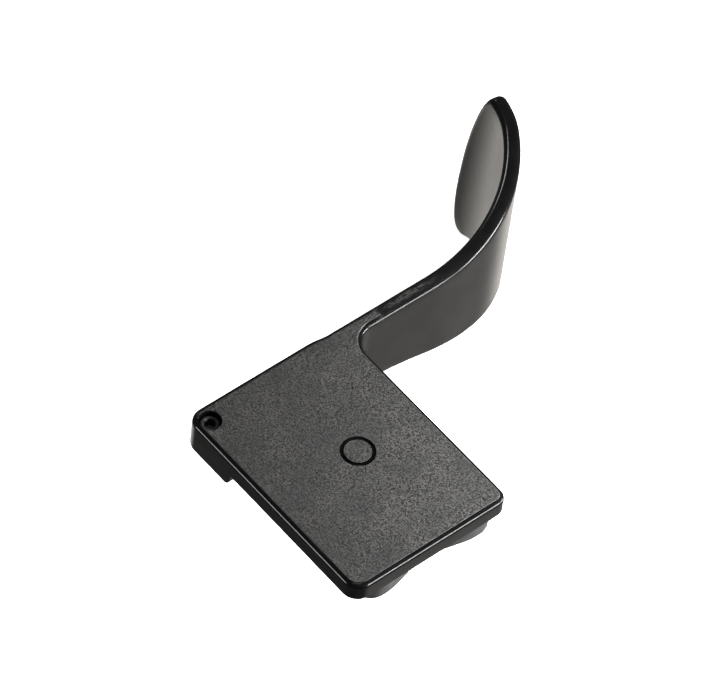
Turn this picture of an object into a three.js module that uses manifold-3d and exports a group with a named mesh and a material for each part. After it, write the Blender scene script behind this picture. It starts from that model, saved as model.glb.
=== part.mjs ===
// Thumb rest for a camera's accessory shoe.
//
// A flat top plate carries a curved arm that ends in a tall thumb pad. Under the plate, a steel foot held by
// four countersunk screws slides into the camera's shoe. A hex-socket set screw in the plate's rear corner
// pushes a small plug down on to the camera, which takes the play out of the foot.
//
// Millimetres, +Z up. The origin is the centre of the foot's underside. +X points along the arm, and +Y
// points to the rear of the camera, where the foot enters the shoe.
import * as THREE from "three";
import { mergeVertices } from "three/addons/utils/BufferGeometryUtils.js";
import Module from "manifold-3d";

// Shoe foot, to the standard accessory-shoe size.
const FOOT_WIDTH = 18.6;
const FOOT_DEPTH = 18.0;
const FOOT_THICKNESS = 2.0;
const FOOT_CORNER_RADIUS = 2.3;
const FOOT_LOBE_X = 6.7;
const SCALLOP_DEPTH = 1.05;
const RAIL_GAP = 1.5;
const NECK_WIDTH = 12.2;
const NECK_FRONT_SETBACK = 1.9;
const NECK_CORNER_RADIUS = 1.5;
const FOOT_REAR_RADIUS = 1.0;
const FOOT_EDGE_CHAMFER = 0.2;

// Top plate and the thick block along its rear edge.
const PLATE_WIDTH = 22.5;
const PLATE_DEPTH = 30.3;
const PLATE_THICKNESS = 2.45;
const PLATE_CENTRE_X = -1.2;
const PLATE_FRONT_OVERHANG = 1.05;
const PLATE_CORNER_RADIUS = 2.0;
const PLATE_FRONT_RIGHT_RADIUS = 1.3;
const EDGE_ROUND = 0.45;
const BLOCK_DEPTH = 8.35;
const BLOCK_DROP = 2.05;
const BLOCK_NOSE_RADIUS = 1.4;
const EMBLEM_CENTRE = new THREE.Vector2(0.2, 4.9);
const EMBLEM_RADIUS = 2.1;
const EMBLEM_LINE = 0.5;
const EMBLEM_DEPTH = 0.15;

// Arm and pad: a strip that runs straight, then along two tangent arcs.
const ARM_THICKNESS = 2.06;
const ARM_BACK_STEP = 0.3;
const ARM_BACK_STEP_START = 1.65;
const ARM_BACK_STEP_END = 4.85;
const ARM_ROOT_X = 4.0;
const ARM_BEND_X = 22.4;
const FIRST_BEND_RADIUS = 27.6;
const FIRST_BEND_ANGLE = 0.963;
const SECOND_BEND_RADIUS = 11.6;
const ROOT_FILLET_RADIUS = 3.0;
const ROOT_RAMP_LENGTH = 7.0;
const LOWER_EDGE_CUBIC = [12.86, 0.266, 0.00815, -0.00027];
const END_BLEND_POWER = 6;
const PAD_TOP_LENGTH = 31.3;
const PAD_BULGE = 3.4;
const PAD_BULGE_DEPTH = 14.6;
const PAD_HEIGHT = 24.2;
const PAD_LEAN_ANGLE = 4.3;
const PAD_LEAN_START = 18.0;
const PAD_LEAN_END = 34.0;
const ARM_LENGTH_STEPS = 34;
const ARM_HEIGHT_STEPS = 8;

// Foot screws.
const FOOT_SCREW_X = 3.9;
const FOOT_SCREW_Y = 4.8;
const SCREW_HEAD_RADIUS = 1.75;
const SCREW_HEAD_HEIGHT = 1.1;
const SCREW_SHANK_RADIUS = 0.95;
const SCREW_LENGTH = 4.5;
const SCREW_RECESS = 0.1;
const SCREW_SOCKET_WIDTH = 1.3;
const SCREW_SOCKET_DEPTH = 0.6;
const SCREW_HEAD_RIM = 0.2;
const CLEARANCE = 0.1;
const SEAT_GAP = 0.02;
const OVERCUT = 1;

// Lock screw and the plug below it.
const LOCK_CENTRE = new THREE.Vector2(-10.6, 18.04);
const LOCK_HOLE_RADIUS = 1.3;
const LOCK_SCREW_RADIUS = 1.2;
const LOCK_SCREW_LENGTH = 2.3;
const LOCK_SCREW_RECESS = 0.55;
const LOCK_SOCKET_WIDTH = 1.3;
const LOCK_SOCKET_DEPTH = 1.2;
const LOCK_CHAMFER = 0.2;
const PLUG_RADIUS = 1.15;
const PLUG_TIP_RADIUS = 0.8;
const PLUG_TIP_HEIGHT = 0.35;

// Heights and edges that follow from the sizes above.
const NECK_BOTTOM = FOOT_THICKNESS + SEAT_GAP;
const PLATE_BOTTOM = FOOT_THICKNESS + RAIL_GAP;
const PLATE_TOP = PLATE_BOTTOM + PLATE_THICKNESS;
const BLOCK_BOTTOM = PLATE_BOTTOM - BLOCK_DROP;
const PLATE_LEFT = PLATE_CENTRE_X - PLATE_WIDTH / 2;
const PLATE_RIGHT = PLATE_CENTRE_X + PLATE_WIDTH / 2;
const PLATE_FRONT = -FOOT_DEPTH / 2 - PLATE_FRONT_OVERHANG;
const PLATE_BACK = PLATE_FRONT + PLATE_DEPTH;
const BLOCK_FRONT = PLATE_BACK - BLOCK_DEPTH;
const ARM_BACK = PLATE_BACK - ARM_BACK_STEP;
const ARM_CENTRE = ARM_BACK - ARM_THICKNESS / 2;
const ARM_FRONT = ARM_BACK - ARM_THICKNESS;

const BLACK_PAINT = new THREE.MeshStandardMaterial({ color: 0x1b1b1c, roughness: 0.55, metalness: 0.1 });
const BLACK_STEEL = new THREE.MeshStandardMaterial({ color: 0x232323, roughness: 0.4, metalness: 0.8 });
const DARK_SCREW = new THREE.MeshStandardMaterial({ color: 0x1a1a1a, roughness: 0.35, metalness: 0.9 });
const WHITE_NYLON = new THREE.MeshStandardMaterial({ color: 0xd8d4c8, roughness: 0.6, metalness: 0.0 });

const wasm = await Module();
wasm.setup();

// Closed geometry to boolean solid, and back.
function solid(geometry) {
  const bare = geometry.clone();
  bare.deleteAttribute("normal");
  bare.deleteAttribute("uv");
  const merged = mergeVertices(bare, 1e-4);
  return new wasm.Manifold(
    new wasm.Mesh({
      numProp: 3,
      vertProperties: new Float32Array(merged.attributes.position.array),
      triVerts: new Uint32Array(merged.index.array),
    }),
  );
}

function geometryOf(manifold) {
  const mesh = manifold.getMesh();
  const geometry = new THREE.BufferGeometry();
  geometry.setAttribute("position", new THREE.BufferAttribute(new Float32Array(mesh.vertProperties), 3));
  geometry.setIndex(new THREE.BufferAttribute(new Uint32Array(mesh.triVerts), 1));
  geometry.computeVertexNormals();
  return geometry;
}

function namedMesh(name, geometry, material) {
  const mesh = new THREE.Mesh(geometry, material);
  mesh.name = name;
  return mesh;
}

// An outline extruded upwards, with its edges rounded by roundOver at both ends.
function prism(shape, bottom, top, roundOver = 0, curveSegments = 8) {
  const geometry = new THREE.ExtrudeGeometry(shape, {
    depth: top - bottom - 2 * roundOver,
    curveSegments,
    bevelEnabled: roundOver > 0,
    bevelThickness: roundOver,
    bevelSize: roundOver,
    bevelSegments: 3,
  });
  return geometry.translate(0, 0, bottom + roundOver);
}

function cylinder(radius, bottom, top, centre, segments = 32) {
  const geometry = new THREE.CylinderGeometry(radius, radius, top - bottom, segments);
  return geometry.rotateX(Math.PI / 2).translate(centre.x, centre.y, (bottom + top) / 2);
}

// A profile of (radius, height) points turned about the Z axis.
function turned(points, segments = 24) {
  const profile = points.map(([radius, height]) => new THREE.Vector2(radius, height));
  return new THREE.LatheGeometry(profile, segments).rotateX(Math.PI / 2);
}

function hexagon(widthAcrossFlats) {
  const corner = widthAcrossFlats / Math.sqrt(3);
  const points = [];
  for (let side = 0; side < 6; side += 1) {
    const angle = (side * Math.PI) / 3;
    points.push(new THREE.Vector2(corner * Math.cos(angle), corner * Math.sin(angle)));
  }
  return new THREE.Shape(points);
}

function roundedRectangle(left, right, front, back, radius) {
  const shape = new THREE.Shape();
  shape.absarc(left + radius, front + radius, radius, Math.PI, 1.5 * Math.PI, false);
  shape.absarc(right - radius, front + radius, radius, 1.5 * Math.PI, 2 * Math.PI, false);
  shape.absarc(right - radius, back - radius, radius, 0, 0.5 * Math.PI, false);
  shape.absarc(left + radius, back - radius, radius, 0.5 * Math.PI, Math.PI, false);
  return shape;
}

function smoothStep(value, start, end) {
  const t = THREE.MathUtils.clamp((value - start) / (end - start), 0, 1);
  return t * t * (3 - 2 * t);
}

// Plan outline of the plate, drawn inside its walls by the width of the rounded edge. Its rear edge steps
// forward, in one soft bend, to meet the back of the arm.
function plateOutline() {
  const inset = EDGE_ROUND;
  const radius = PLATE_CORNER_RADIUS - inset;
  const rightRadius = PLATE_FRONT_RIGHT_RADIUS - inset;
  const left = PLATE_LEFT + inset;
  const right = PLATE_RIGHT - inset;
  const front = PLATE_FRONT + inset;
  const back = PLATE_BACK - inset;
  const shape = new THREE.Shape();
  shape.absarc(left + radius, front + radius, radius, Math.PI, 1.5 * Math.PI, false);
  shape.absarc(right - rightRadius, front + rightRadius, rightRadius, 1.5 * Math.PI, 2 * Math.PI, false);
  shape.lineTo(right, back - ARM_BACK_STEP);
  const stepStart = PLATE_RIGHT - ARM_BACK_STEP_START;
  const stepEnd = PLATE_RIGHT - ARM_BACK_STEP_END;
  const soft = (stepStart - stepEnd) * 0.375;
  const stepBack = back - ARM_BACK_STEP;
  shape.lineTo(stepStart, stepBack);
  shape.bezierCurveTo(stepStart - soft, stepBack, stepEnd + soft, back, stepEnd, back);
  shape.absarc(left + radius, back - radius, radius, 0.5 * Math.PI, Math.PI, false);
  return shape;
}

// Side profile of the plate and its rear block, seen along X: (y, z).
function plateProfile() {
  const nose = BLOCK_NOSE_RADIUS;
  const shape = new THREE.Shape();
  shape.moveTo(PLATE_FRONT - OVERCUT, PLATE_BOTTOM);
  shape.lineTo(BLOCK_FRONT, PLATE_BOTTOM);
  shape.absarc(BLOCK_FRONT + nose, BLOCK_BOTTOM + nose, nose, Math.PI, 1.5 * Math.PI, false);
  shape.lineTo(PLATE_BACK + OVERCUT, BLOCK_BOTTOM);
  shape.lineTo(PLATE_BACK + OVERCUT, PLATE_TOP + OVERCUT);
  shape.lineTo(PLATE_FRONT - OVERCUT, PLATE_TOP + OVERCUT);
  return shape;
}

function plateSolid() {
  const slab = solid(prism(plateOutline(), BLOCK_BOTTOM, PLATE_TOP, EDGE_ROUND));
  const width = PLATE_WIDTH + 2 * OVERCUT;
  const across = new THREE.ExtrudeGeometry(plateProfile(), { depth: width, bevelEnabled: false });
  // (y, z, x) to (x, y, z)
  const turn = new THREE.Matrix4().set(0, 0, 1, PLATE_LEFT - OVERCUT, 1, 0, 0, 0, 0, 1, 0, 0, 0, 0, 0, 1);
  across.applyMatrix4(turn);
  return slab.intersect(solid(across));
}

// Point and heading of the arm's centre line, length millimetres past the start of the first bend.
function armCentre(length) {
  const firstLength = FIRST_BEND_RADIUS * FIRST_BEND_ANGLE;
  if (length < 0) {
    return { x: ARM_BEND_X + length, y: ARM_CENTRE, heading: 0 };
  }
  const firstTurn = Math.min(length, firstLength) / FIRST_BEND_RADIUS;
  const secondTurn = Math.max(length - firstLength, 0) / SECOND_BEND_RADIUS;
  const heading = firstTurn + secondTurn;
  const x = FIRST_BEND_RADIUS * Math.sin(firstTurn)
    + SECOND_BEND_RADIUS * (Math.sin(heading) - Math.sin(firstTurn));
  const y = FIRST_BEND_RADIUS * (1 - Math.cos(firstTurn))
    + SECOND_BEND_RADIUS * (Math.cos(firstTurn) - Math.cos(heading));
  return { x: ARM_BEND_X + x, y: ARM_CENTRE + y, heading };
}

// Depth of the arm's lower edge below the plate's top: shallow under the block, then a steady fall.
function lowerEdgeDepth(length) {
  const fall = LOWER_EDGE_CUBIC.reduce((sum, factor, power) => sum + factor * length ** power, 0);
  const rootLength = ARM_ROOT_X - ARM_BEND_X;
  const rootDepth = PLATE_TOP - BLOCK_BOTTOM - EDGE_ROUND;
  return THREE.MathUtils.lerp(rootDepth, fall, smoothStep(length, rootLength, rootLength + ROOT_RAMP_LENGTH));
}

// How far along the arm its end lies at a depth: two quarter ellipses that bulge past the top corner.
function endLength(depth) {
  const below = depth > PAD_BULGE_DEPTH;
  const reach = below ? PAD_HEIGHT - PAD_BULGE_DEPTH : PAD_BULGE_DEPTH;
  const t = Math.min(Math.abs(depth - PAD_BULGE_DEPTH) / reach, 1);
  return PAD_TOP_LENGTH + PAD_BULGE * Math.sqrt(1 - t * t);
}

// Stations from 0 to 1 with a first and a last step of the edge's width.
function stations(count, edgeShare, edgeAtStart) {
  const values = [0];
  const inner = count - (edgeAtStart ? 2 : 1);
  const start = edgeAtStart ? edgeShare : 0;
  for (let step = edgeAtStart ? 0 : 1; step <= inner; step += 1) {
    values.push(start + ((1 - edgeShare - start) * step) / inner);
  }
  values.push(1);
  return values;
}

// The arm and pad: a box whose grid is laid along the centre line, between the top and the lower edge.
function armSolid() {
  const rootLength = ARM_ROOT_X - ARM_BEND_X;
  const fullLength = PAD_TOP_LENGTH + PAD_BULGE - rootLength;
  const along = stations(ARM_LENGTH_STEPS, EDGE_ROUND / fullLength, false);
  const down = stations(ARM_HEIGHT_STEPS, EDGE_ROUND / PAD_HEIGHT, true);
  const box = new THREE.BoxGeometry(1, 1, 1, ARM_LENGTH_STEPS, ARM_HEIGHT_STEPS, 1);
  const position = box.attributes.position;
  for (let index = 0; index < position.count; index += 1) {
    const column = Math.round((position.getX(index) + 0.5) * ARM_LENGTH_STEPS);
    const row = Math.round((0.5 - position.getY(index)) * ARM_HEIGHT_STEPS);
    const side = Math.sign(position.getZ(index));
    const endDepth = down[row] * PAD_HEIGHT;
    const length = THREE.MathUtils.lerp(rootLength, endLength(endDepth), along[column]);
    const endShare = along[column] ** END_BLEND_POWER;
    const depth = THREE.MathUtils.lerp(down[row] * lowerEdgeDepth(length), endDepth, endShare);
    const onEdge = row === 0 || row === ARM_HEIGHT_STEPS || column === ARM_LENGTH_STEPS;
    const half = ARM_THICKNESS / 2 - (onEdge ? EDGE_ROUND : 0);
    const lean = Math.tan(THREE.MathUtils.degToRad(PAD_LEAN_ANGLE))
      * smoothStep(length, PAD_LEAN_START, PAD_LEAN_END);
    const offset = -side * half + lean * depth;
    const centre = armCentre(length);
    position.setXYZ(
      index,
      centre.x - offset * Math.sin(centre.heading),
      centre.y + offset * Math.cos(centre.heading),
      PLATE_TOP - depth,
    );
  }
  return solid(box);
}

// The hollow corner between the plate's side and the arm's front, filled to a concave radius.
function rootFilletSolid() {
  const centreX = PLATE_RIGHT + ROOT_FILLET_RADIUS;
  const centreY = ARM_FRONT - ROOT_FILLET_RADIUS;
  const radius = ROOT_FILLET_RADIUS + EDGE_ROUND;
  const shape = new THREE.Shape();
  shape.moveTo(centreX - radius - OVERCUT, centreY);
  shape.absarc(centreX, centreY, radius, Math.PI, 0.5 * Math.PI, true);
  shape.lineTo(centreX, ARM_CENTRE);
  shape.lineTo(centreX - radius - OVERCUT, ARM_CENTRE);
  return solid(prism(shape, BLOCK_BOTTOM, PLATE_TOP, EDGE_ROUND));
}

function neckSolid() {
  const front = -FOOT_DEPTH / 2 + SCALLOP_DEPTH + NECK_FRONT_SETBACK;
  const half = NECK_WIDTH / 2;
  const shape = roundedRectangle(-half, half, front, BLOCK_FRONT + NECK_CORNER_RADIUS, NECK_CORNER_RADIUS);
  return solid(prism(shape, NECK_BOTTOM, PLATE_BOTTOM + OVERCUT));
}

// A fine ring engraved in the middle of the plate.
function emblemCutter() {
  const outer = new THREE.Shape();
  outer.absarc(0, 0, EMBLEM_RADIUS, 0, 2 * Math.PI, false);
  const hole = new THREE.Path();
  hole.absarc(0, 0, EMBLEM_RADIUS - EMBLEM_LINE, 0, 2 * Math.PI, true);
  outer.holes.push(hole);
  const ring = prism(outer, PLATE_TOP - EMBLEM_DEPTH, PLATE_TOP + OVERCUT, 0, 16);
  return solid(ring.translate(EMBLEM_CENTRE.x, EMBLEM_CENTRE.y, 0));
}

function footScrewPlaces() {
  const places = [];
  for (const y of [-FOOT_SCREW_Y, FOOT_SCREW_Y]) {
    for (const x of [-FOOT_SCREW_X, FOOT_SCREW_X]) {
      places.push(new THREE.Vector2(x, y));
    }
  }
  return places;
}

function bodyGeometry() {
  let body = plateSolid().add(neckSolid()).add(rootFilletSolid()).add(armSolid());
  body = body.subtract(emblemCutter());
  const bottom = BLOCK_BOTTOM - OVERCUT;
  body = body.subtract(solid(cylinder(LOCK_HOLE_RADIUS, bottom, PLATE_TOP + OVERCUT, LOCK_CENTRE, 40)));
  const screwHoleRadius = SCREW_SHANK_RADIUS + CLEARANCE;
  const screwHoleTop = SCREW_RECESS + SCREW_LENGTH + 2 * CLEARANCE;
  for (const place of footScrewPlaces()) {
    body = body.subtract(solid(cylinder(screwHoleRadius, FOOT_THICKNESS - OVERCUT, screwHoleTop, place, 20)));
  }
  return geometryOf(body);
}

// The foot's front edge has a shallow hollow between two lobes.
function footOutline() {
  const side = FOOT_WIDTH / 2;
  const front = -FOOT_DEPTH / 2;
  const back = FOOT_DEPTH / 2;
  const radius = FOOT_CORNER_RADIUS;
  const lobe = FOOT_LOBE_X;
  const rear = FOOT_REAR_RADIUS;
  const bottom = front + SCALLOP_DEPTH;
  const shape = new THREE.Shape();
  shape.absarc(-side + radius, front + radius, radius, Math.PI, 1.5 * Math.PI, false);
  shape.lineTo(-lobe, front);
  shape.bezierCurveTo(-lobe * 0.7, front, -lobe * 0.45, bottom, 0, bottom);
  shape.bezierCurveTo(lobe * 0.45, bottom, lobe * 0.7, front, lobe, front);
  shape.absarc(side - radius, front + radius, radius, 1.5 * Math.PI, 2 * Math.PI, false);
  shape.absarc(side - rear, back - rear, rear, 0, 0.5 * Math.PI, false);
  shape.absarc(-side + rear, back - rear, rear, 0.5 * Math.PI, Math.PI, false);
  return shape;
}

// A countersunk screw's profile, head down, grown by extra all round.
function screwProfile(extra) {
  const head = SCREW_HEAD_RADIUS + extra;
  const shank = SCREW_SHANK_RADIUS + extra;
  const bottom = extra > 0 ? -OVERCUT : SCREW_RECESS;
  const neck = SCREW_RECESS + SCREW_HEAD_HEIGHT;
  return [
    [0, bottom],
    [head, bottom],
    [head, SCREW_RECESS + SCREW_HEAD_RIM],
    [shank, neck],
    [shank, SCREW_RECESS + SCREW_LENGTH],
    [0, SCREW_RECESS + SCREW_LENGTH],
  ];
}

function footGeometry() {
  let foot = solid(prism(footOutline(), 0, FOOT_THICKNESS, FOOT_EDGE_CHAMFER, 6));
  for (const place of footScrewPlaces()) {
    foot = foot.subtract(solid(turned(screwProfile(CLEARANCE)).translate(place.x, place.y, 0)));
  }
  return geometryOf(foot);
}

function footScrewGeometry() {
  const socket = prism(hexagon(SCREW_SOCKET_WIDTH), -OVERCUT, SCREW_RECESS + SCREW_SOCKET_DEPTH);
  return geometryOf(solid(turned(screwProfile(0))).subtract(solid(socket)));
}

function lockScrewGeometry() {
  const top = PLATE_TOP - LOCK_SCREW_RECESS;
  const bottom = top - LOCK_SCREW_LENGTH;
  const edge = LOCK_SCREW_RADIUS - LOCK_CHAMFER;
  const blank = turned(
    [
      [0, bottom],
      [edge, bottom],
      [LOCK_SCREW_RADIUS, bottom + LOCK_CHAMFER],
      [LOCK_SCREW_RADIUS, top - LOCK_CHAMFER],
      [edge, top],
      [0, top],
    ],
    32,
  );
  const socket = prism(hexagon(LOCK_SOCKET_WIDTH), top - LOCK_SOCKET_DEPTH, top + OVERCUT);
  return geometryOf(solid(blank).subtract(solid(socket)));
}

function plugGeometry() {
  const top = PLATE_TOP - LOCK_SCREW_RECESS - LOCK_SCREW_LENGTH - CLEARANCE;
  return turned(
    [
      [0, BLOCK_BOTTOM],
      [PLUG_TIP_RADIUS, BLOCK_BOTTOM],
      [PLUG_RADIUS, BLOCK_BOTTOM + PLUG_TIP_HEIGHT],
      [PLUG_RADIUS, top],
      [0, top],
    ],
    32,
  );
}

const thumbRest = new THREE.Group();
thumbRest.add(namedMesh("body", bodyGeometry(), BLACK_PAINT));
thumbRest.add(namedMesh("shoe_foot", footGeometry(), BLACK_STEEL));
footScrewPlaces().forEach((place, index) => {
  const screw = namedMesh(`foot_screw_${index + 1}`, footScrewGeometry(), DARK_SCREW);
  screw.position.set(place.x, place.y, 0);
  thumbRest.add(screw);
});
const lockGroup = new THREE.Group();
lockGroup.position.set(LOCK_CENTRE.x, LOCK_CENTRE.y, 0);
lockGroup.add(namedMesh("lock_screw", lockScrewGeometry(), DARK_SCREW));
lockGroup.add(namedMesh("pressure_plug", plugGeometry(), WHITE_NYLON));
thumbRest.add(lockGroup);

export default thumbRest;
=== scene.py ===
"""Looks for a camera shoe thumb rest: black painted casting, blackened foot, screws and a nylon plug."""

import math

import bmesh
import bpy
import numpy as np
from mathutils import Matrix, Vector


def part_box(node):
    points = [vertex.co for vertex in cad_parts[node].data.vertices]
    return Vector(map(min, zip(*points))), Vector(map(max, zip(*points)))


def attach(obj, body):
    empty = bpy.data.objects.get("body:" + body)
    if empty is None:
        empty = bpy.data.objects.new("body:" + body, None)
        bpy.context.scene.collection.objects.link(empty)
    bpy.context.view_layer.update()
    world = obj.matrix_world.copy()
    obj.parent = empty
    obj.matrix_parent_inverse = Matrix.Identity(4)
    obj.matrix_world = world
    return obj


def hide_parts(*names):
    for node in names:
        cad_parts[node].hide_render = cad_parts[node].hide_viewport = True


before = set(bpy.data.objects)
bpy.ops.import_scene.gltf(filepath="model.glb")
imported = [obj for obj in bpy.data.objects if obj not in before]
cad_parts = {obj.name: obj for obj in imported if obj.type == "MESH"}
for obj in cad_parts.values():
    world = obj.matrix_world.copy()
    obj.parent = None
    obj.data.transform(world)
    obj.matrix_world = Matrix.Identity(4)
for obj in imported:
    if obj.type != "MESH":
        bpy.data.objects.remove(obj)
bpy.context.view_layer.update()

MM = 0.001

# The casting's places, from the frame, in millimetres.
BODY_LOW, BODY_HIGH = (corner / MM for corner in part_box("body"))
FOOT_LOW, FOOT_HIGH = (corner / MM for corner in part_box("shoe_foot"))
TOP = BODY_HIGH.z
LEFT = BODY_LOW.x
FRONT = BODY_LOW.y

# Plate and rear block.
PLATE_WIDTH = 22.5
PLATE_DEPTH = 30.3
PLATE_THICKNESS = 2.45
CORNER_RADIUS = 2.0
FRONT_RIGHT_RADIUS = 1.5
EDGE_ROUND = 0.7
LOWER_EDGE_ROUND = 0.08
BLOCK_LOWER_ROUND = 0.2
BLOCK_DEPTH = 8.35
BLOCK_DROP = 2.05
ARM_ROOT_RISE = 0.45
BLOCK_NOSE_RADIUS = 1.4
RIGHT = LEFT + PLATE_WIDTH
BACK = FRONT + PLATE_DEPTH
PLATE_BOTTOM = TOP - PLATE_THICKNESS
BLOCK_BOTTOM = PLATE_BOTTOM - BLOCK_DROP

# Neck between the plate and the foot.
NECK_WIDTH = 12.2
NECK_FRONT = FRONT + 4.0
NECK_RADIUS = 1.5
NECK_OVERLAP = 0.6
WEB_LIFT = 0.001
SEAT_GAP = 0.02

# Arm and pad: a flat blank bent along a straight run and two tangent arcs.
ARM_THICKNESS = 2.06
ARM_BACK = BACK - 0.3
ARM_CENTRE = ARM_BACK - ARM_THICKNESS / 2
ARM_FRONT = ARM_BACK - ARM_THICKNESS
ARM_ROOT_X = 4.0
ARM_BEND_X = 22.4
BEND_RADII = (27.6, 11.6)
FIRST_BEND_ANGLE = 0.963
ARM_ROOT_LENGTH = ARM_ROOT_X - ARM_BEND_X
PAD_TOP_LENGTH = 31.3
PAD_BULGE = 3.4
PAD_BULGE_DEPTH = 14.6
PAD_HEIGHT = 24.2
LOWER_EDGE_CUBIC = (12.86, 0.266, 0.00815, -0.00027)
END_BLEND_POWER = 6
PAD_CORNER_POWER = 0.7
PAD_LEAN_ANGLE = math.radians(4.3)
PAD_LEAN_SPAN = (18.0, 34.0)
CROWN_ROUND = 0.8
CROWN_SPAN = (-9.5, -4.0)
ROOT_FILLET_RADIUS = 3.0
ROOT_RAMP_LENGTH = 7.0

# Emblem ring, lock bore and foot screws.
EMBLEM_CENTRE = Vector((0.2, 4.9, 0))
EMBLEM_RADIUS = 2.1
EMBLEM_LINE = 0.5
EMBLEM_DEPTH = 0.2
EMBLEM_SEGMENTS = 96
BORE_LEAD_IN = 0.1
SCREW_END_GAP = 0.2
OVERCUT = 1
BORE_RADIUS = 1.3
SCREW_BORE_RADIUS = 1.05
SCREW_HEAD_RADIUS = 1.75
SCREW_NODES = ["foot_screw_1", "foot_screw_2", "foot_screw_3", "foot_screw_4"]

SCREW_SHANK_RADIUS = 0.95
SCREW_HEAD_HEIGHT = 1.1
SCREW_HEAD_RIM = 0.2
SCREW_RECESS = 0.1
SCREW_SOCKET_DEPTH = 0.6
SOCKET_WIDTH = 1.3
FOOT_SCREW_PITCH = 0.4
CLEARANCE = 0.1

# Shoe foot.
FOOT_CORNER_RADIUS = 2.3
FOOT_REAR_RADIUS = 1.0
FOOT_LOBE_X = 6.7
SCALLOP_DEPTH = 1.05
FOOT_EDGE_ROUND = 0.2

# Lock screw.
LOCK_PITCH = 0.45
LOCK_CHAMFER = 0.2
LOCK_SOCKET_DEPTH = 1.2

ARC_STEPS = 8
THREAD_STEPS = 12

# Finish.
PEBBLE_END = 14.6
PEBBLE_HEIGHT = 0.3

# Studio. Softboxes: (name, place, target, size, watts, seen in reflections).
# Bounce cards: (name, place, size, strength).
FLOOR_GLOW = 0.85
WORLD_STRENGTH = 0.1
SOFTBOXES = [
    ("overhead", (-40, -30, 520), (0, 5, 6), (240, 240), 0.26, True),
    ("key", (52, -38, 42), (14, -12, 6), (30, 30), 0.38, False),
    ("rear", (120, 400, 300), (20, 20, 6), (90, 90), 0.27, True),
    ("front_edge", (205, -385, 45), (0, -10, 6), (150, 60), 0.9, True),
    ("arm_edge", (360, -230, -10), (20, 10, 0), (190, 60), 1.2, True),
    ("left_edge", (-390, 190, 40), (-12, 5, 6), (150, 60), 0.4, True),
]
BOUNCE_CARDS = [
    ("right_card", (150, 100, -150), (110, 110), 2.8),
    ("rear_card", (20, 170, -150), (150, 110), 2.0),
    ("front_card", (110, -60, -150), (150, 150), 0.5),
]
CAMERA_PLACE = Vector((-296.05, -281.03, 546.72))
CAMERA_FORWARD = Vector((0.4431367, 0.4318815, -0.7855624))
CAMERA_RIGHT = Vector((0.7684656, -0.6342473, 0.0848000))
LENS = 307.6


def node_centre(node):
    """Centre of a CAD node's box, in millimetres."""
    low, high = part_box(node)
    return (low + high) / 2 / MM


LOCK_CENTRE = node_centre("lock_screw")


# ---------------------------------------------------------------- outlines


def arc(centre, radius, start, end, steps=ARC_STEPS):
    """Points on an arc, with angles in degrees."""
    points = []
    for step in range(steps + 1):
        angle = math.radians(start + (end - start) * step / steps)
        points.append((centre[0] + radius * math.cos(angle), centre[1] + radius * math.sin(angle)))
    return points


def bezier(p0, p1, p2, p3, steps):
    """Points on a cubic Bezier curve, without its last one."""
    points = []
    for step in range(steps):
        t = step / steps
        u = 1 - t
        weights = (u ** 3, 3 * u * u * t, 3 * u * t * t, t ** 3)
        points.append(tuple(sum(w * p[axis] for w, p in zip(weights, (p0, p1, p2, p3))) for axis in (0, 1)))
    return points


def smooth_step(value, start, end):
    t = min(max((value - start) / (end - start), 0), 1)
    return t * t * (3 - 2 * t)


def plate_outline(inset):
    """Plan of the plate; its rear edge steps forward softly to meet the arm's back."""
    left, right = LEFT + inset, RIGHT - inset
    front, back, arm_back = FRONT + inset, BACK - inset, ARM_BACK - inset
    radius, small = CORNER_RADIUS - inset, FRONT_RIGHT_RADIUS - inset
    points = arc((left + radius, front + radius), radius, 180, 270)
    points += arc((right - small, front + small), small, 270, 360)
    points += [(right, arm_back)]
    points += bezier((RIGHT - 1.6, arm_back), (RIGHT - 2.8, arm_back), (RIGHT - 3.6, back),
                     (RIGHT - 4.8, back), 10)
    points += [(RIGHT - 4.8, back)]
    points += arc((left + radius, back - radius), radius, 90, 180)
    return points


def root_fillet_outline(inset):
    """Plan of the web that rounds the corner between the plate's side and the arm's front."""
    centre = (RIGHT + ROOT_FILLET_RADIUS, ARM_FRONT - ROOT_FILLET_RADIUS)
    radius = ROOT_FILLET_RADIUS + inset
    inner, outer = RIGHT - 2 + inset, centre[0] + EDGE_ROUND - inset
    low = centre[1] - EDGE_ROUND + inset
    points = [(inner, low), (centre[0] - radius, low)]
    points += arc(centre, radius, 180, 90, 16)
    points += [(outer, centre[1] + radius), (outer, ARM_CENTRE), (inner, ARM_CENTRE)]
    return points


def rectangle_outline(left, right, front, back, corner):
    """Function of inset that gives a rounded rectangle."""

    def outline(inset):
        radius = corner - inset
        points = arc((left + corner, front + corner), radius, 180, 270)
        points += arc((right - corner, front + corner), radius, 270, 360)
        points += arc((right - corner, back - corner), radius, 0, 90)
        points += arc((left + corner, back - corner), radius, 90, 180)
        return points

    return outline


def offset_outline(points, inset):
    """A closed outline moved inwards along its own normals."""
    loop = np.array(points, float)
    before, after = loop - np.roll(loop, 1, axis=0), np.roll(loop, -1, axis=0) - loop
    before /= np.linalg.norm(before, axis=1)[:, None]
    after /= np.linalg.norm(after, axis=1)[:, None]
    tangent = before + after
    tangent /= np.linalg.norm(tangent, axis=1)[:, None]
    cosine = np.clip((tangent * after).sum(axis=1), 0.5, 1)
    inward = np.stack([-tangent[:, 1], tangent[:, 0]], axis=1)
    return loop + inward * (inset / cosine)[:, None]


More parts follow.
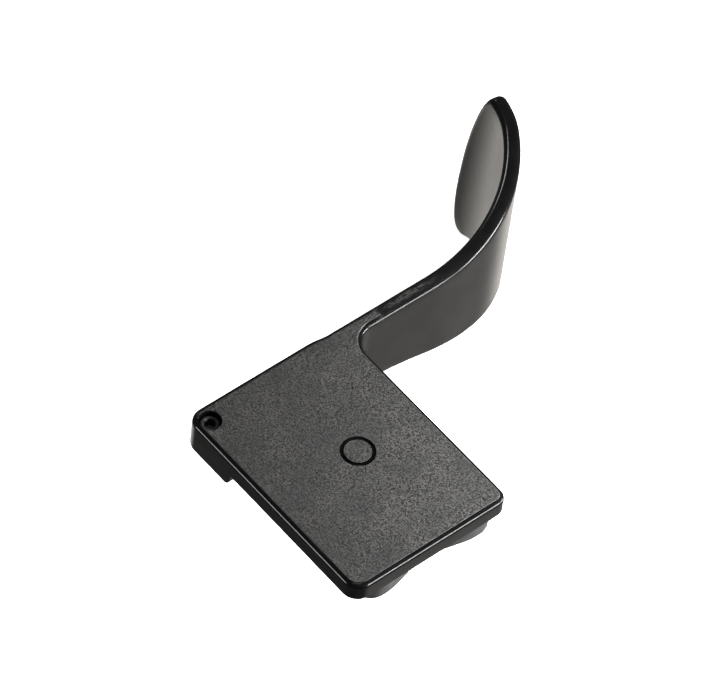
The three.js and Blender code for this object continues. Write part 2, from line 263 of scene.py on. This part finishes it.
def lower_edge_depth(length):
    """Depth of the arm's lower edge below the plate's top."""
    fall = sum(factor * length ** power for power, factor in enumerate(LOWER_EDGE_CUBIC))
    share = (length - ARM_ROOT_LENGTH) / (PAD_TOP_LENGTH - ARM_ROOT_LENGTH)
    fall += (PAD_HEIGHT - fall) * share ** END_BLEND_POWER
    root_depth = TOP - BLOCK_BOTTOM - ARM_ROOT_RISE
    ramp = smooth_step(length, ARM_ROOT_LENGTH, ARM_ROOT_LENGTH + ROOT_RAMP_LENGTH)
    return root_depth + (fall - root_depth) * ramp


def blank_outline():
    """The arm's flat blank: (length along the arm, depth below the plate's top), counter-clockwise."""
    points = []
    for length in np.arange(ARM_ROOT_LENGTH, PAD_TOP_LENGTH, 0.5):
        points.append((length, 0.0))
    for step in range(24):
        angle = math.pi / 2 * step / 24
        points.append((
            PAD_TOP_LENGTH + PAD_BULGE * math.sin(angle),
            PAD_BULGE_DEPTH * (1 - math.cos(angle)),
        ))
    for step in range(32):
        angle = math.pi / 2 * step / 32
        points.append((
            PAD_TOP_LENGTH + PAD_BULGE * math.cos(angle) ** PAD_CORNER_POWER,
            PAD_BULGE_DEPTH + (PAD_HEIGHT - PAD_BULGE_DEPTH) * math.sin(angle) ** PAD_CORNER_POWER,
        ))
    for length in np.arange(PAD_TOP_LENGTH, ARM_ROOT_LENGTH, -0.5):
        points.append((length, lower_edge_depth(length)))
    points.append((ARM_ROOT_LENGTH, lower_edge_depth(ARM_ROOT_LENGTH)))
    return points


# ---------------------------------------------------------------- solids


def rounding(radius, steps=6):
    """(inset, rise) pairs of a quarter round, from its flat end to its wall end."""
    if radius == 0:
        return [(0, 0)]
    pairs = []
    for step in range(steps + 1):
        angle = math.pi / 2 * step / steps
        pairs.append((radius * (1 - math.sin(angle)), radius * (1 - math.cos(angle))))
    return pairs


def loft(name, rings):
    """Closed object through rings of equally many points, with flat ends."""
    mesh_builder = bmesh.new()
    rows = [[mesh_builder.verts.new(point) for point in ring] for ring in rings]
    count = len(rings[0])
    for lower, upper in zip(rows, rows[1:]):
        for index in range(count):
            following = (index + 1) % count
            mesh_builder.faces.new((lower[index], lower[following], upper[following], upper[index]))
    mesh_builder.faces.new(list(reversed(rows[0])))
    mesh_builder.faces.new(rows[-1])
    return to_object(name, mesh_builder)


def to_object(name, mesh_builder):
    """Object from a bmesh in millimetres; frees the bmesh."""
    bmesh.ops.remove_doubles(mesh_builder, verts=mesh_builder.verts, dist=1e-5)
    bmesh.ops.recalc_face_normals(mesh_builder, faces=mesh_builder.faces)
    mesh = bpy.data.meshes.new(name)
    mesh_builder.to_mesh(mesh)
    mesh_builder.free()
    thing = bpy.data.objects.new(name, mesh)
    bpy.context.scene.collection.objects.link(thing)
    return thing


def prism(name, outline, bottom, top, bottom_round=0.0, top_round=0.0):
    """Upright prism over outline(inset), with rounded lower and upper edges."""
    rings = []
    for inset, rise in rounding(bottom_round):
        rings.append([(x, y, bottom + rise) for x, y in outline(inset)])
    for inset, rise in reversed(rounding(top_round)):
        rings.append([(x, y, top - rise) for x, y in outline(inset)])
    return loft(name, rings)


def turned(name, profile, segments=64, centre=(0, 0)):
    """Solid of revolution about Z from (radius, height) points; the first and last lie on the axis."""
    mesh_builder = bmesh.new()
    rows = []
    for radius, height in profile:
        if radius == 0:
            rows.append([mesh_builder.verts.new((centre[0], centre[1], height))])
            continue
        row = []
        for segment in range(segments):
            angle = 2 * math.pi * segment / segments
            row.append(mesh_builder.verts.new((
                centre[0] + radius * math.cos(angle), centre[1] + radius * math.sin(angle), height,
            )))
        rows.append(row)
    for lower, upper in zip(rows, rows[1:]):
        for index in range(segments):
            following = (index + 1) % segments
            corners = [lower[index % len(lower)], lower[following % len(lower)],
                       upper[following % len(upper)], upper[index % len(upper)]]
            corners = list(dict.fromkeys(corners))
            mesh_builder.faces.new(corners)
    return to_object(name, mesh_builder)


def combine(target, tool, operation):
    """Boolean of two closed objects; the tool is used up."""
    modifier = target.modifiers.new("combine", "BOOLEAN")
    modifier.operation = operation
    modifier.object = tool
    modifier.solver = "MANIFOLD"
    apply_modifiers(target)
    bpy.data.objects.remove(tool)
    return target


def apply_modifiers(thing):
    graph = bpy.context.evaluated_depsgraph_get()
    mesh = bpy.data.meshes.new_from_object(thing.evaluated_get(graph))
    thing.modifiers.clear()
    old = thing.data
    thing.data = mesh
    bpy.data.meshes.remove(old)


def finish_mesh(thing, sharp_angle=35):
    """Millimetres to metres, smooth shading with crisp edges, and flat faces kept flat."""
    thing.data.transform(Matrix.Scale(MM, 4))
    mesh_builder = bmesh.new()
    mesh_builder.from_mesh(thing.data)
    bmesh.ops.remove_doubles(mesh_builder, verts=mesh_builder.verts, dist=2e-7)
    bmesh.ops.dissolve_degenerate(mesh_builder, edges=mesh_builder.edges, dist=2e-7)
    bmesh.ops.triangulate(mesh_builder, faces=[face for face in mesh_builder.faces if len(face.verts) > 4])
    mesh_builder.to_mesh(thing.data)
    mesh_builder.free()
    thing.data.shade_smooth()
    thing.data.set_sharp_from_angle(angle=math.radians(sharp_angle))
    weighted = thing.modifiers.new("weighted", "WEIGHTED_NORMAL")
    weighted.keep_sharp = True
    weighted.weight = 100
    apply_modifiers(thing)
    return thing


def bend_arm(point):
    """Blank (length, depth, offset from the middle of its thickness) to the row frame."""
    length, depth, offset = point
    first_length = BEND_RADII[0] * FIRST_BEND_ANGLE
    first = min(max(length, 0), first_length) / BEND_RADII[0]
    heading = first + max(length - first_length, 0) / BEND_RADII[1]
    x = ARM_BEND_X + min(length, 0) + BEND_RADII[0] * math.sin(first)
    x += BEND_RADII[1] * (math.sin(heading) - math.sin(first))
    y = ARM_CENTRE + BEND_RADII[0] * (1 - math.cos(first))
    y += BEND_RADII[1] * (math.cos(first) - math.cos(heading))
    offset += math.tan(PAD_LEAN_ANGLE) * smooth_step(length, *PAD_LEAN_SPAN) * depth
    return Vector((x - offset * math.sin(heading), y + offset * math.cos(heading), TOP - depth))


def edge_radius(length, depth):
    """The arm's edges start as the plate's, and its top soon swells into a crown."""
    crown = smooth_step(length, *CROWN_SPAN) * (1 - smooth_step(depth, 1.0, 6.0))
    return EDGE_ROUND + (CROWN_ROUND - EDGE_ROUND) * crown


def arm_solid():
    """The arm and pad, cut as a flat blank with rounded edges and then bent."""
    outline = blank_outline()
    half = ARM_THICKNESS / 2
    front_radii = np.array([edge_radius(*point) for point in outline])
    back_radii = np.full(len(outline), EDGE_ROUND)
    quarter = rounding(1.0, 10)
    rings = []
    for side, radii, pairs in ((-1, front_radii, quarter), (1, back_radii, list(reversed(quarter)))):
        for inset, rise in pairs:
            heights = side * (half - radii * rise)
            rings.append([(x, y, h) for (x, y), h in zip(offset_outline(outline, radii * inset), heights)])
    arm = loft("arm", rings)
    mesh_builder = bmesh.new()
    mesh_builder.from_mesh(arm.data)
    for length in np.arange(ARM_ROOT_LENGTH + 1, PAD_TOP_LENGTH + PAD_BULGE, 0.6):
        slice_mesh(mesh_builder, (length, 0, 0), (1, 0, 0))
    for depth in np.arange(2, 24, 2):
        slice_mesh(mesh_builder, (0, depth, 0), (0, 1, 0))
    for vertex in mesh_builder.verts:
        vertex.co = bend_arm(vertex.co)
    bmesh.ops.triangulate(mesh_builder, faces=mesh_builder.faces)
    bmesh.ops.recalc_face_normals(mesh_builder, faces=mesh_builder.faces)
    mesh_builder.to_mesh(arm.data)
    mesh_builder.free()
    return arm


def slice_mesh(mesh_builder, point, normal):
    everything = mesh_builder.verts[:] + mesh_builder.edges[:] + mesh_builder.faces[:]
    bmesh.ops.bisect_plane(mesh_builder, geom=everything, dist=1e-4, plane_co=point, plane_no=normal)


def block_solid():
    """The thick rear part of the plate, with its front lower edge rounded."""
    block = prism("block", plate_outline, BLOCK_BOTTOM, TOP - 0.8, BLOCK_LOWER_ROUND)
    front = BACK - BLOCK_DEPTH
    nose = BLOCK_NOSE_RADIUS
    profile = [(BACK + 1, BLOCK_BOTTOM - 1), (BACK + 1, TOP), (front, TOP)]
    profile += arc((front + nose, BLOCK_BOTTOM + nose), nose, 180, 270, 12)
    profile += [(front + nose + 1, BLOCK_BOTTOM - 1)]
    rings = [[(x, y, z) for y, z in profile] for x in (LEFT - 1, RIGHT + 1)]
    return combine(block, loft("profile", rings), "INTERSECT")


def emblem_ring():
    """Cutter for the fine engraved ring."""
    middle = EMBLEM_RADIUS - EMBLEM_LINE / 2
    half = EMBLEM_LINE / 2
    mesh_builder = bmesh.new()
    section = [(-half, 0.5), (-half, 0), (-half * 0.75, -EMBLEM_DEPTH), (half * 0.75, -EMBLEM_DEPTH),
               (half, 0), (half, 0.5)]
    rows = []
    for segment in range(EMBLEM_SEGMENTS):
        angle = 2 * math.pi * segment / EMBLEM_SEGMENTS
        direction = Vector((math.cos(angle), math.sin(angle), 0))
        row = []
        for across, rise in section:
            place = EMBLEM_CENTRE + direction * (middle + across) + Vector((0, 0, TOP + rise))
            row.append(mesh_builder.verts.new(place))
        rows.append(row)
    for index, row in enumerate(rows):
        following = rows[(index + 1) % EMBLEM_SEGMENTS]
        for side in range(len(section)):
            after = (side + 1) % len(section)
            mesh_builder.faces.new((row[side], following[side], following[after], row[after]))
    return to_object("emblem", mesh_builder)


def casting():
    """Plate, block, neck, root web, arm and pad as one body, with its bores and engraving."""
    body = prism("casting", plate_outline, PLATE_BOTTOM, TOP, LOWER_EDGE_ROUND, EDGE_ROUND)
    combine(body, block_solid(), "UNION")
    neck = rectangle_outline(-NECK_WIDTH / 2, NECK_WIDTH / 2, NECK_FRONT, BACK - BLOCK_DEPTH + NECK_RADIUS,
                             NECK_RADIUS)
    combine(body, prism("neck", neck, FOOT_HIGH.z + SEAT_GAP, PLATE_BOTTOM + NECK_OVERLAP), "UNION")
    web = prism("web", root_fillet_outline, BLOCK_BOTTOM + WEB_LIFT, TOP, LOWER_EDGE_ROUND, EDGE_ROUND)
    combine(body, web, "UNION")
    combine(body, arm_solid(), "UNION")
    combine(body, emblem_ring(), "DIFFERENCE")
    mouth = BORE_RADIUS + BORE_LEAD_IN
    bore = [
        (0, BLOCK_BOTTOM - OVERCUT), (BORE_RADIUS, BLOCK_BOTTOM - OVERCUT),
        (BORE_RADIUS, TOP - BORE_LEAD_IN), (mouth, TOP), (mouth, TOP + OVERCUT), (0, TOP + OVERCUT),
    ]
    combine(body, turned("bore", bore, centre=LOCK_CENTRE), "DIFFERENCE")
    for node in SCREW_NODES:
        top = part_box(node)[1].z / MM + SCREW_END_GAP
        hole = [(0, 1), (SCREW_BORE_RADIUS, 1), (SCREW_BORE_RADIUS, top), (0, top)]
        combine(body, turned("hole", hole, 32, node_centre(node)), "DIFFERENCE")
    return finish_mesh(body)


# ---------------------------------------------------------------- foot, screws and plug


def foot_outline(inset):
    """Plan of the shoe foot: two front lobes with a shallow hollow between them."""
    side, front, back = FOOT_HIGH.x - inset, FOOT_LOW.y + inset, FOOT_HIGH.y - inset
    radius, rear = FOOT_CORNER_RADIUS - inset, FOOT_REAR_RADIUS - inset
    bottom = front + SCALLOP_DEPTH
    lobe = FOOT_LOBE_X
    points = arc((-side + radius, front + radius), radius, 180, 270)
    points += bezier((-lobe, front), (-lobe * 0.7, front), (-lobe * 0.45, bottom), (0, bottom), 12)
    points += bezier((0, bottom), (lobe * 0.45, bottom), (lobe * 0.7, front), (lobe, front), 12)
    points += arc((side - radius, front + radius), radius, 270, 360)
    points += arc((side - rear, back - rear), rear, 0, 90)
    points += arc((-side + rear, back - rear), rear, 90, 180)
    return points


def foot():
    """Shoe foot with its four countersunk screw holes."""
    plate = prism("foot", foot_outline, FOOT_LOW.z, FOOT_HIGH.z, FOOT_EDGE_ROUND, FOOT_EDGE_ROUND)
    head, shank = SCREW_HEAD_RADIUS + CLEARANCE, SCREW_SHANK_RADIUS + CLEARANCE
    for node in SCREW_NODES:
        profile = [
            (0, -OVERCUT), (head, -OVERCUT), (head, SCREW_RECESS + SCREW_HEAD_RIM),
            (shank, SCREW_RECESS + SCREW_HEAD_HEIGHT),
            (shank, FOOT_HIGH.z + OVERCUT), (0, FOOT_HIGH.z + OVERCUT),
        ]
        combine(plate, turned("countersink", profile, 48, node_centre(node)), "DIFFERENCE")
    return finish_mesh(plate)


def hexagon(width, centre):
    """Function of inset that gives a hexagon of that width across its flats."""

    def outline(inset):
        corner = (width / 2 - inset) * 2 / math.sqrt(3)
        angles = [math.radians(60 * side) for side in range(6)]
        return [(centre[0] + corner * math.cos(a), centre[1] + corner * math.sin(a)) for a in angles]

    return outline


def thread(name, radius, depth, pitch, bottom, top, run_in, centre, segments=48):
    """Closed rod with a helical thread cut into it, plain over run_in at both ends."""
    mesh_builder = bmesh.new()
    rows = []
    steps = math.ceil((top - bottom) / pitch * THREAD_STEPS)
    for step in range(steps + 1):
        height = bottom + (top - bottom) * step / steps
        taper = min(height - bottom, top - height)
        row = []
        for segment in range(segments):
            turn = segment / segments
            phase = (height / pitch - turn) % 1
            groove = depth * (1 - abs(2 * phase - 1)) * smooth_step(taper, 0, run_in)
            chamfer = max(run_in - taper, 0)
            reach = radius - max(groove, chamfer)
            angle = 2 * math.pi * turn
            row.append(mesh_builder.verts.new((
                centre[0] + reach * math.cos(angle), centre[1] + reach * math.sin(angle), height,
            )))
        rows.append(row)
    for lower, upper in zip(rows, rows[1:]):
        for index in range(segments):
            following = (index + 1) % segments
            mesh_builder.faces.new((lower[index], lower[following], upper[following], upper[index]))
    mesh_builder.faces.new(list(reversed(rows[0])))
    mesh_builder.faces.new(rows[-1])
    return to_object(name, mesh_builder)


def lock_screw():
    """M2.5 set screw with a hexagon socket that ends in a drilled cone."""
    low, high = (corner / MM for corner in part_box("lock_screw"))
    centre = LOCK_CENTRE
    radius = (high.x - low.x) / 2
    screw = thread("lock_set_screw", radius, 0.13, LOCK_PITCH, low.z, high.z, LOCK_CHAMFER, centre)
    floor = high.z - LOCK_SOCKET_DEPTH
    combine(screw, prism("socket", hexagon(SOCKET_WIDTH, centre), floor, high.z + 1), "DIFFERENCE")
    cone = [(0, floor - 0.25), (0.55, floor), (0.55, floor + 0.2), (0, floor + 0.2)]
    combine(screw, turned("drill", cone, 32, centre), "DIFFERENCE")
    mouth = [(0, high.z - 0.12), (0.62, high.z - 0.12), (0.8, high.z + 0.06), (0, high.z + 0.06)]
    combine(screw, turned("mouth", mouth, 48, centre), "DIFFERENCE")
    return finish_mesh(screw, 30)


def foot_screw(node):
    """Countersunk screw, head down, with a hexagon socket and a threaded shank."""
    low, high = (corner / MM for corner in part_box(node))
    centre = node_centre(node)
    head, shank = SCREW_HEAD_RADIUS, SCREW_SHANK_RADIUS
    neck = low.z + SCREW_HEAD_HEIGHT
    profile = [
        (0, low.z), (head - 0.12, low.z), (head - 0.04, low.z + 0.04), (head, low.z + 0.12),
        (head, low.z + SCREW_HEAD_RIM), (shank, neck), (shank - 0.05, neck + 0.15),
        (shank - 0.05, neck + 0.3), (0, neck + 0.3),
    ]
    screw = turned(f"countersunk_{node}", profile, 64, centre)
    rod = thread("rod", shank, 0.1, FOOT_SCREW_PITCH, neck + 0.1, high.z, 0.15, centre, 32)
    combine(screw, rod, "UNION")
    socket = prism("socket", hexagon(SOCKET_WIDTH, centre), low.z - 1, low.z + SCREW_SOCKET_DEPTH)
    combine(screw, socket, "DIFFERENCE")
    return finish_mesh(screw, 30)


def plug():
    """Turned nylon plug with a domed tip and a softened upper rim."""
    low, high = (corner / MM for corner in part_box("pressure_plug"))
    radius = (high.x - low.x) / 2
    tip = 0.8
    profile = [(0, low.z), (tip - 0.1, low.z), (tip - 0.03, low.z + 0.03), (tip, low.z + 0.09)]
    profile += [(radius - 0.04, low.z + 0.33), (radius, low.z + 0.42), (radius, high.z - 0.1)]
    profile += [(radius - 0.03, high.z - 0.03), (radius - 0.1, high.z), (0, high.z)]
    return finish_mesh(turned("nylon_plug", profile, 64, LOCK_CENTRE), 40)


# ---------------------------------------------------------------- materials


class Nodes:
    """Short way to write a node tree."""

    def __init__(self, name):
        self.material = bpy.data.materials.new(name)
        self.material.use_nodes = True
        self.tree = self.material.node_tree
        self.shader = self.tree.nodes["Principled BSDF"]
        self.place = self.add("ShaderNodeTexCoord").outputs["Object"]

    def add(self, kind, inputs=None, **settings):
        node = self.tree.nodes.new(kind)
        for key, value in settings.items():
            setattr(node, key, value)
        for key, value in (inputs or {}).items():
            self.feed(node.inputs[key], value)
        return node

    def feed(self, socket, value):
        if isinstance(value, bpy.types.NodeSocket):
            self.tree.links.new(value, socket)
        else:
            socket.default_value = value

    def noise(self, size, detail=3.0, roughness=0.55, place=None):
        """Noise whose features are about size millimetres across."""
        inputs = {"Vector": place or self.place, "Scale": 1 / (size * MM), "Detail": detail,
                  "Roughness": roughness}
        return self.add("ShaderNodeTexNoise", inputs).outputs["Fac"]

    def cells(self, size, feature="F1"):
        inputs = {"Vector": self.place, "Scale": 1 / (size * MM)}
        return self.add("ShaderNodeTexVoronoi", inputs, feature=feature).outputs["Distance"]

    def ramp(self, value, low, high, start=0.0, end=1.0):
        """start below low, end above high, and smooth between them."""
        inputs = {"Value": value, "From Min": low, "From Max": high, "To Min": start, "To Max": end}
        return self.add("ShaderNodeMapRange", inputs, interpolation_type="SMOOTHSTEP").outputs["Result"]

    def math(self, operation, first, second=0.0):
        return self.add("ShaderNodeMath", {0: first, 1: second}, operation=operation).outputs[0]

    def mix(self, share, first, second):
        """Blend of two numbers."""
        inputs = {0: share, 2: first, 3: second}
        return self.add("ShaderNodeMix", inputs, data_type="FLOAT").outputs[0]

    def blend(self, share, first, second):
        """Blend of two colours."""
        node = self.add("ShaderNodeMix", {0: share}, data_type="RGBA")
        self.feed(node.inputs[6], first)
        self.feed(node.inputs[7], second)
        return node.outputs[2]

    def axes(self, vector=None):
        return self.add("ShaderNodeSeparateXYZ", {0: vector or self.place}).outputs

    def stretched(self, x, y, z):
        """Object place with each axis scaled, for brushed grain."""
        return self.add("ShaderNodeMapping", {"Vector": self.place, "Scale": (x, y, z)}).outputs[0]

    def bump(self, height, depth, normal=None):
        """Bump whose height of 1 is depth millimetres."""
        inputs = {"Height": height, "Distance": depth * MM, "Strength": 1.0}
        if normal is not None:
            inputs["Normal"] = normal
        return self.add("ShaderNodeBump", inputs).outputs[0]

    def set(self, **values):
        for name, value in values.items():
            self.feed(self.shader.inputs[name.replace("_", " ")], value)


def paint_material():
    """Black paint: pebbled and satin on the plate's top, smooth walls, glossy edges and arm top; its colour
    holds painted shade in the grain's pits, painted glints on the pebbles and a painted highlight streak
    along the arm's top.
    """
    n = Nodes("black_paint")
    x, y, z = (n.axes()[axis] for axis in "XYZ")
    on_top = n.ramp(z, (TOP - 0.03) * MM, (TOP - 0.006) * MM)
    ragged = n.math("MULTIPLY", n.noise(1.2), 0.0006)
    reach = n.math("SUBTRACT", x, ragged)
    before_arm = n.ramp(reach, (PEBBLE_END - 0.5) * MM, (PEBBLE_END - 0.1) * MM, 1.0, 0.0)
    pebbled = n.math("MULTIPLY", on_top, before_arm)
    upper = n.ramp(z, (TOP - 0.6) * MM, (TOP - 0.3) * MM)
    glossy = n.math("MULTIPLY", upper, n.math("SUBTRACT", 1.0, pebbled))

    fine = n.noise(0.2, 4.0, 0.7)
    coarse = n.noise(0.6, 2.0, 0.55)
    pits = n.ramp(n.cells(0.5), 0.08, 0.3)
    rare = n.ramp(n.noise(0.9, 1.0), 0.46, 0.58)
    pitted = n.mix(rare, 1.0, pits)
    skin = n.noise(0.16, 3.0, 0.6)

    cloud = n.ramp(n.noise(5.0, 3.0), 0.3, 0.7)
    tone = n.blend(cloud, (0.0012, 0.0012, 0.0012, 1), (0.003, 0.003, 0.003, 1))
    # Painted shade: the pebbled colour is darker in the grain's pits and low spots and lighter on its
    # raised spots, following the bump relief.
    grain_relief_shade = n.math("MULTIPLY", n.ramp(fine, 0.43, 0.57), pitted)
    pebbled_coat_and_shade = n.blend(grain_relief_shade, (0.003, 0.003, 0.003, 1), (0.064, 0.063, 0.06, 1))
    pebbled_coat_and_shade = n.blend(n.ramp(n.noise(5.0, 3.0), 0.3, 0.7, 0.0, 0.5), pebbled_coat_and_shade, (0.02, 0.02, 0.0205, 1))
    tone = n.blend(pebbled, tone, pebbled_coat_and_shade)
    # Painted glints: small bright specks in the pebbled colour.
    painted_glints = n.math("MULTIPLY", n.ramp(n.noise(0.35, 1.0), 0.68, 0.74), 0.35)
    tone = n.blend(n.math("MULTIPLY", painted_glints, pebbled), tone, (0.09, 0.09, 0.088, 1))
    # Lighter marks, broken up by a scratch pattern: a band where the pebbled texture ends, and a painted
    # highlight streak along the middle of the arm's top near its root. The same marks also make the paint
    # rougher there.
    border = n.math("MULTIPLY", n.ramp(x, (PEBBLE_END - 0.5) * MM, PEBBLE_END * MM),
                    n.ramp(x, PEBBLE_END * MM, (PEBBLE_END + 0.8) * MM, 1.0, 0.0))
    off_centre = n.math("ABSOLUTE", n.math("SUBTRACT", y, ARM_CENTRE * MM))
    streak_highlight_and_scuff = n.math("MULTIPLY", n.ramp(x, 14.8 * MM, 17.0 * MM), n.ramp(x, 19.0 * MM, 25.0 * MM, 1.0, 0.0))
    streak_highlight_and_scuff = n.math("MULTIPLY", streak_highlight_and_scuff, n.ramp(off_centre, 0.05 * MM, 0.6 * MM, 1.0, 0.0))
    scratches = n.ramp(n.noise(0.3, 5.0, 0.75, n.stretched(0.3, 1.0, 1.0)), 0.36, 0.72, 0.0, 0.8)
    marks = n.math("MULTIPLY", n.math("ADD", n.math("MULTIPLY", border, 0.4), streak_highlight_and_scuff), scratches)
    marks = n.math("MULTIPLY", marks, upper)
    # The marks lighten the colour; on the arm's top this is a painted highlight.
    tone = n.blend(marks, tone, (0.055, 0.054, 0.052, 1))

    satin = n.mix(fine, 0.42, 0.58)
    smooth = n.mix(n.noise(0.8, 4.0), 0.32, 0.38)
    gloss = n.mix(n.noise(0.9, 4.0, 0.65), 0.12, 0.2)
    roughness = n.mix(pebbled, n.mix(marks, n.mix(glossy, smooth, gloss), 0.9), satin)

    relief = n.math("ADD", n.math("MULTIPLY", fine, 0.5), n.math("MULTIPLY", coarse, 0.5))
    relief = n.math("ADD", relief, n.math("MULTIPLY", pitted, 0.55))
    normal = n.bump(n.math("MULTIPLY", relief, pebbled), PEBBLE_HEIGHT)
    normal = n.bump(n.math("MULTIPLY", n.noise(0.7, 2.0), n.math("SUBTRACT", 1.0, pebbled)), 0.006, normal)
    normal = n.bump(skin, 0.004, normal)
    n.set(Base_Color=tone, Roughness=roughness, Normal=normal, IOR=1.45)
    return n.material


def steel_material(name, tone, worn, along):
    """Blackened steel with a fine grain along one axis and bare patches where it rubs."""
    n = Nodes(name)
    scale = [6.0, 6.0, 6.0]
    scale["XYZ".index(along)] = 0.4
    grain = n.noise(0.25, 5.0, 0.6, n.stretched(*scale))
    blotch = n.ramp(n.noise(1.8, 4.0, 0.6), 0.52, 0.68)
    colour = n.blend(n.math("MULTIPLY", blotch, 0.35), (*tone, 1), (*worn, 1))
    colour = n.blend(n.math("MULTIPLY", grain, 0.25), colour, (*worn, 1))
    normal = n.bump(grain, 0.004)
    normal = n.bump(n.noise(0.12, 2.0), 0.0015, normal)
    n.set(Base_Color=colour, Metallic=n.mix(blotch, 0.15, 0.4), Roughness=n.mix(grain, 0.26, 0.44),
          Normal=normal)
    return n.material


def nylon_material():
    """Natural nylon: milky, faintly mottled, with turning marks."""
    n = Nodes("natural_nylon")
    mottle = n.noise(0.6, 3.0)
    rings = n.noise(0.1, 2.0, 0.5, n.stretched(0.5, 0.5, 4.0))
    colour = n.blend(mottle, (0.62, 0.58, 0.5, 1), (0.76, 0.73, 0.66, 1))
    n.set(Base_Color=colour, Roughness=n.mix(rings, 0.4, 0.6), Normal=n.bump(rings, 0.006),
          Subsurface_Weight=0.15, Subsurface_Scale=0.0005)
    return n.material


# ---------------------------------------------------------------- studio


def floor():
    """Pale floor, lit from within a little so that it stays nearly white."""
    size = 3.0
    mesh_builder = bmesh.new()
    bmesh.ops.create_grid(mesh_builder, x_segments=2, y_segments=2, size=size)
    mesh = bpy.data.meshes.new("floor")
    mesh_builder.to_mesh(mesh)
    mesh_builder.free()
    thing = bpy.data.objects.new("floor", mesh)
    bpy.context.scene.collection.objects.link(thing)
    thing.location = (0, 0, BODY_LOW.z * MM - 0.0005)
    n = Nodes("pale_floor")
    shade = n.blend(n.noise(60.0, 2.0), (0.86, 0.86, 0.86, 1), (0.9, 0.9, 0.9, 1))
    n.set(Base_Color=shade, Roughness=0.9, Emission_Color=(1, 1, 1, 1), Emission_Strength=FLOOR_GLOW)
    mesh.materials.append(n.material)
    thing.visible_glossy = False
    thing.visible_shadow = False


def bounce_card(name, place, size, strength):
    """Glowing card under the set that only reflections see."""
    mesh_builder = bmesh.new()
    bmesh.ops.create_grid(mesh_builder, x_segments=1, y_segments=1, size=0.5 * MM)
    mesh = bpy.data.meshes.new(name)
    mesh_builder.to_mesh(mesh)
    mesh_builder.free()
    thing = bpy.data.objects.new(name, mesh)
    bpy.context.scene.collection.objects.link(thing)
    thing.location = Vector(place) * MM
    thing.scale = (*size, 1)
    n = Nodes(name)
    n.set(Base_Color=(0, 0, 0, 1), Emission_Color=(1, 0.96, 0.9, 1), Emission_Strength=strength)
    mesh.materials.append(n.material)
    thing.visible_camera = False
    thing.visible_diffuse = False
    thing.visible_shadow = False


def area_light(name, place, target, size, watts, reflected):
    """Soft rectangular light, in millimetres, that cameras don't see."""
    data = bpy.data.lights.new(name, "AREA")
    data.shape = "RECTANGLE"
    data.size, data.size_y = (side * MM for side in size)
    data.energy = watts
    thing = bpy.data.objects.new(name, data)
    bpy.context.scene.collection.objects.link(thing)
    start, end = Vector(place) * MM, Vector(target) * MM
    thing.location = start
    thing.rotation_mode = "QUATERNION"
    thing.rotation_quaternion = (end - start).to_track_quat("-Z", "Y")
    thing.visible_camera = False
    thing.visible_glossy = reflected


def studio():
    """Even white surroundings and a few softboxes."""
    world = bpy.data.worlds.new("studio")
    world.use_nodes = True
    world.node_tree.nodes["Background"].inputs[0].default_value = (1, 1, 1, 1)
    world.node_tree.nodes["Background"].inputs[1].default_value = WORLD_STRENGTH
    bpy.context.scene.world = world
    for softbox in SOFTBOXES:
        area_light(*softbox)
    for card in BOUNCE_CARDS:
        bounce_card(*card)


def camera():
    """Long lens, high over the plate's front left corner."""
    data = bpy.data.cameras.new("camera")
    data.sensor_width = 36
    data.lens = LENS
    data.clip_start, data.clip_end = 0.01, 20
    thing = bpy.data.objects.new("camera", data)
    bpy.context.scene.collection.objects.link(thing)
    forward = CAMERA_FORWARD.normalized()
    right = (CAMERA_RIGHT - forward * CAMERA_RIGHT.dot(forward)).normalized()
    up = right.cross(forward)
    turn = Matrix((right, up, -forward)).transposed().to_4x4()
    thing.matrix_world = Matrix.Translation(CAMERA_PLACE * MM) @ turn
    bpy.context.scene.camera = thing


def give(thing, body, slot, material, *nodes):
    """Puts a finished piece on its body in place of its CAD nodes."""
    thing.data.materials.clear()
    thing.data.materials.append(material)
    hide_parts(*nodes)
    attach(thing, body)


# ---------------------------------------------------------------- run

bpy.context.scene.view_settings.view_transform = "Standard"
camera()
studio()
floor()

screw_steel = steel_material("black_oxide", (0.012, 0.012, 0.013), (0.08, 0.078, 0.075), "Z")
foot_steel = steel_material("foot_steel", (0.018, 0.018, 0.019), (0.12, 0.12, 0.12), "X")
give(casting(), "rest_body", "black_paint", paint_material(), "body")
give(foot(), "rest_body", "black_steel", foot_steel, "shoe_foot")
for node in SCREW_NODES:
    give(foot_screw(node), "rest_body", "screw_steel", screw_steel, node)
give(lock_screw(), "screw", "screw_steel", screw_steel, "lock_screw")
give(plug(), "plug", "nylon", nylon_material(), "pressure_plug")
